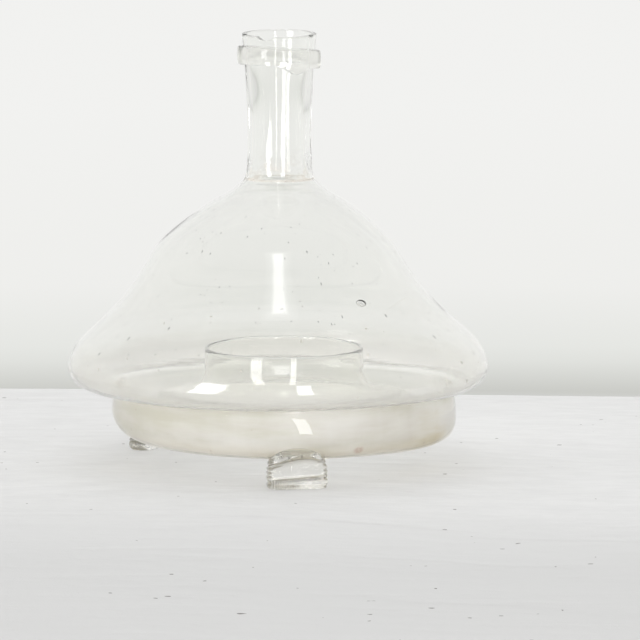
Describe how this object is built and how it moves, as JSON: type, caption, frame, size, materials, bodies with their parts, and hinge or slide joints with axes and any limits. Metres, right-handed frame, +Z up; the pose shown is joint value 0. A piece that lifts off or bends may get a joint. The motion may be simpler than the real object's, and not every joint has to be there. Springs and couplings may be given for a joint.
{
  "type": "glass fly trap",
  "caption": "Hand-blown clear glass fly trap: ringed bottle neck, wide bell over a shallow bait trough, open collar up through the base, on applied pinched feet.",
  "frame": {"origin": "on the surface the three feet stand on, under the middle of the bell", "axes": "+Z up along the neck's bore, -Y towards the front foot, +X to the right"},
  "size_m": [0.2, 0.2, 0.2053],
  "materials": {
    "vessel_glass": "fire-polished clear blown glass with a faint grey-green tint, seeds and light dust",
    "trough_glass": "clear blown glass clouded inside by a dried cream-coloured bait residue",
    "ring_glass": "clear glass trail, pressed flat, with tooling marks",
    "foot_glass": "clear glass, pinched and ribbed by the pincers"
  },
  "bodies": {
    "root": {"neck": "vessel_glass", "neck_ring": "ring_glass", "bell": "vessel_glass", "trough": "trough_glass", "entry_collar": "vessel_glass", "foot_front": "foot_glass", "foot_left": "foot_glass", "foot_right": "foot_glass"}
  },
  "joints": []
}
